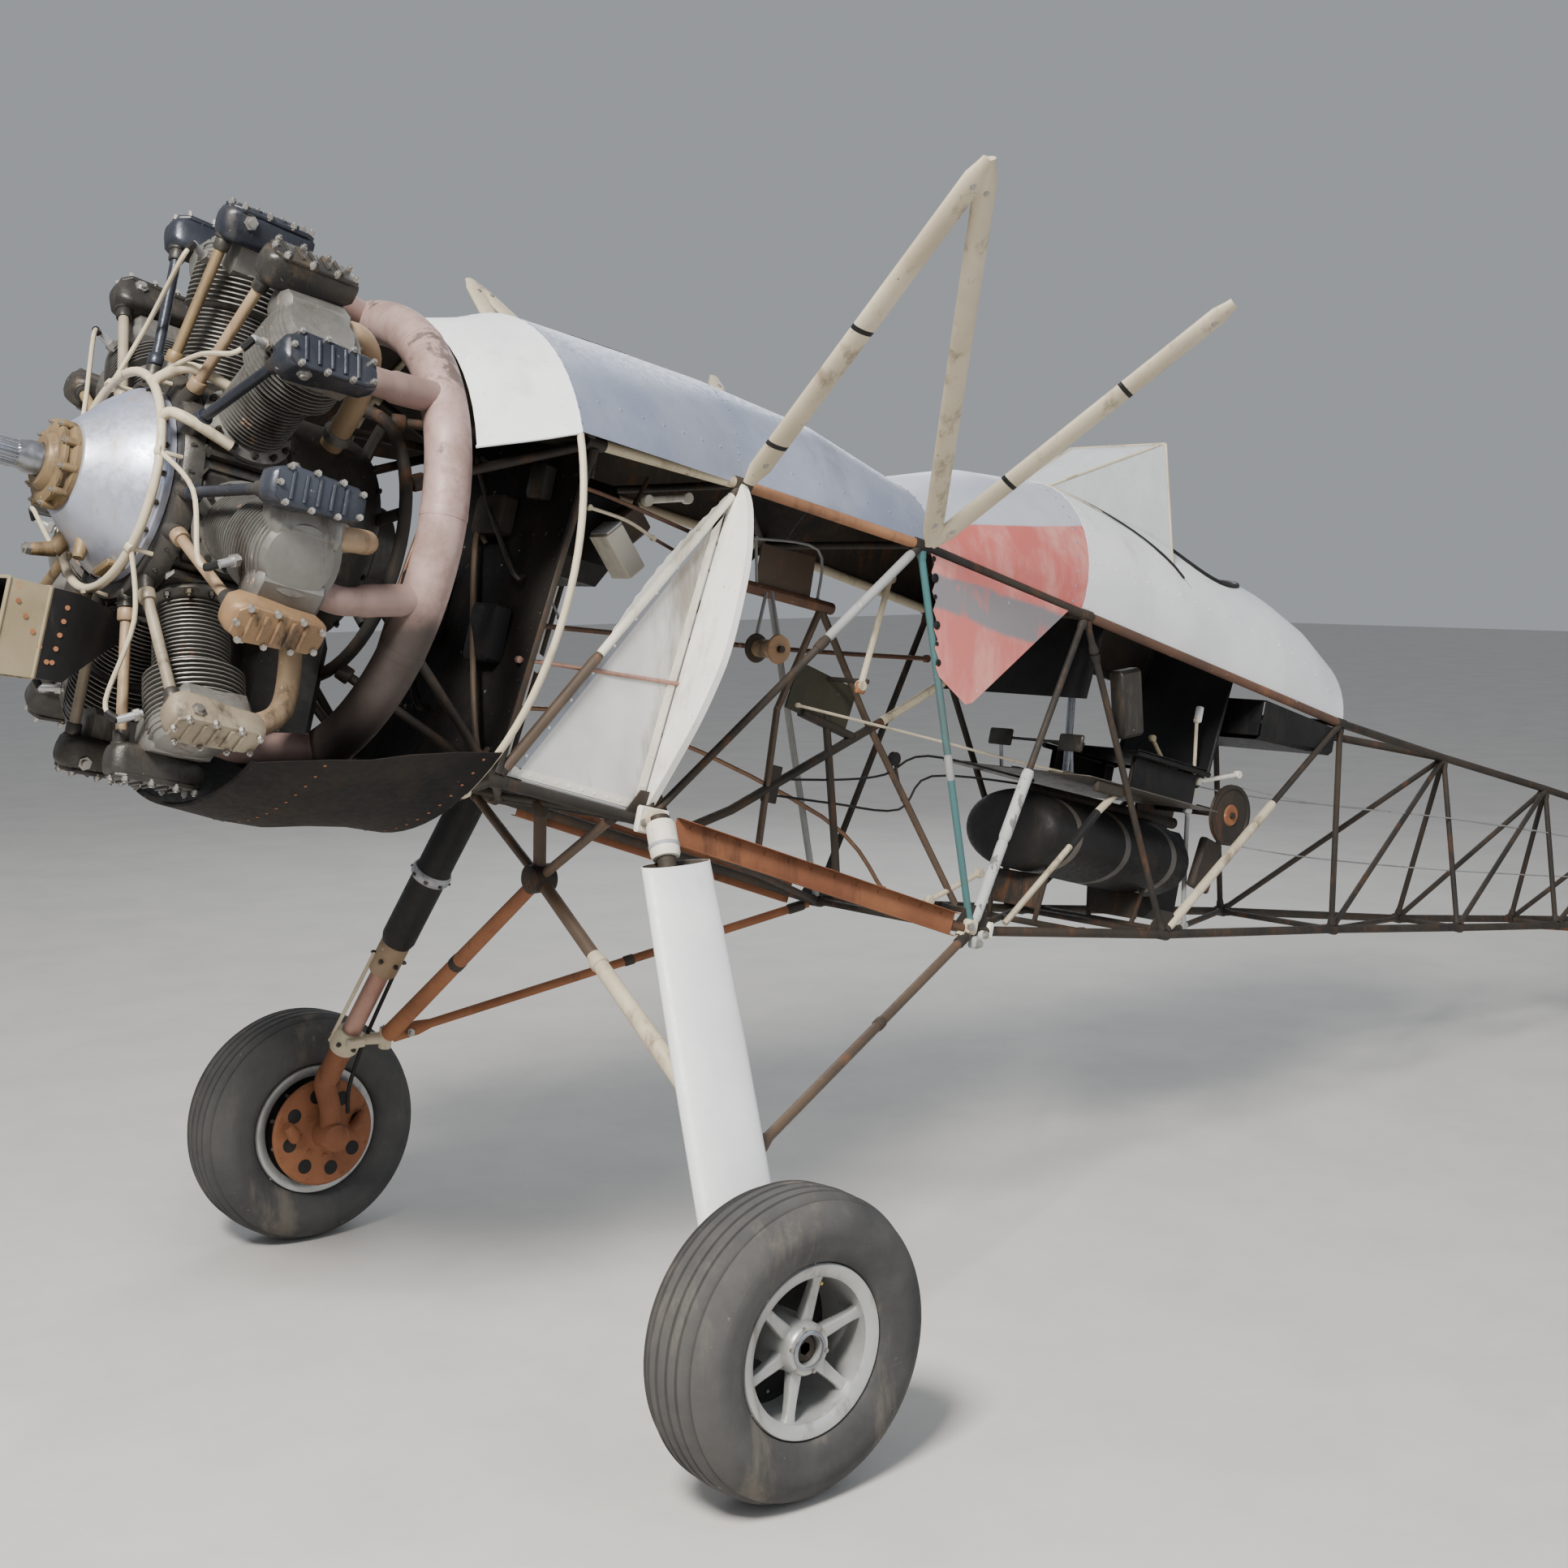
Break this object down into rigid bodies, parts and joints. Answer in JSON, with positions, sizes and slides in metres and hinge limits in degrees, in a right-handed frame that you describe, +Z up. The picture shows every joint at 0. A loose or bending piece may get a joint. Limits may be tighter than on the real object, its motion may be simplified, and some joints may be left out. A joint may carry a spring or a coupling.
{
  "type": "biplane",
  "caption": "Stripped biplane fuselage on its wheels: open radial engine, bare tube frame, patched cowls and cabane struts, with wings, tail surfaces and propeller missing.",
  "frame": {"origin": "on the floor, at the centre of the part's box seen from above", "axes": "+X towards the tail, -Y towards the left side, +Z up; the thrust line is 14.61 degrees nose up"},
  "size_m": [6.9088, 2.325, 2.7536],
  "materials": {
    "frame": "worn dark paint with rust",
    "rust": "rusty primer",
    "white": "faded white paint",
    "silver": "dull silver paint",
    "red": "faded red paint",
    "cream": "cream primer",
    "dark": "dark oily paint",
    "steel": "bare steel",
    "tyre": "aged rubber",
    "glass": "hazy sheet",
    "alloy": "cast, oily",
    "wheel_alloy": "cast",
    "exhaust": "heat stained",
    "olive": "rusty olive paint"
  },
  "bodies": {
    "airframe": {"front_frame_left": "frame", "front_frame_right": "frame", "front_top_tubes": "frame", "front_belly_tubes": "frame", "rear_truss": "frame", "front_hoop": "cream", "engine_mount": "frame", "firewall": "dark", "crankcase": "alloy", "nose_case": "alloy", "harness_ring": "cream", "exhaust_ring": "exhaust", "cylinder_1": "alloy", "cylinder_2": "alloy", "cylinder_3": "alloy", "cylinder_4": "alloy", "cylinder_5": "alloy", "cylinder_6": "alloy", "cylinder_7": "alloy", "air_scoop": "olive", "front_panel": "white", "front_deck": "silver", "lower_cowl": "dark", "mid_cowl": "silver", "cockpit_cowl": "white", "windscreen": "glass", "side_rib_left": "white", "side_panel_left": "white", "root_channel_left": "rust", "side_rib_right": "white", "side_panel_right": "white", "root_channel_right": "rust", "side_plate_left": "red", "cockpit_floor": "frame", "seat": "dark", "instrument_panel": "dark", "rear_shelf": "dark", "belly_tank": "dark", "gear_centre": "frame", "leg_fairing_left": "white", "gear_leg_left": "steel", "drag_strut_left": "frame", "gear_leg_right": "rust", "drag_strut_right": "frame", "cabane_left": "cream", "cabane_right": "cream", "tail_spring": "rust"},
    "propeller": {"propeller_shaft": "steel"},
    "wheel_left": {"wheel_left": "wheel_alloy", "tyre_left": "tyre"},
    "wheel_right": {"wheel_right": "wheel_alloy", "tyre_right": "tyre"},
    "tail_fork": {"tailwheel_fork": "steel"},
    "tail_wheel": {"tailwheel": "tyre"}
  },
  "joints": [
    {"name": "propeller_spin", "type": "hinge", "parent": "airframe", "child": "propeller", "pos_m": [-3.23498, 0, 2.10546], "axis": [-0.9677, 0, 0.2522], "continuous": true},
    {"name": "wheel_left_spin", "type": "hinge", "parent": "airframe", "child": "wheel_left", "pos_m": [-2.17055, -1.055, 0.3215], "axis": [0, 1, 0], "continuous": true},
    {"name": "wheel_right_spin", "type": "hinge", "parent": "airframe", "child": "wheel_right", "pos_m": [-2.17055, 1.055, 0.3215], "axis": [0, 1, 0], "continuous": true},
    {"name": "tailwheel_steer", "type": "hinge", "parent": "airframe", "child": "tail_fork", "pos_m": [3.26945, 0, 0.28], "axis": [0, 0, 1], "range_deg": [-30, 30]},
    {"name": "tailwheel_spin", "type": "hinge", "parent": "tail_fork", "child": "tail_wheel", "pos_m": [3.32945, 0, 0.125], "axis": [0, 1, 0], "continuous": true}
  ]
}
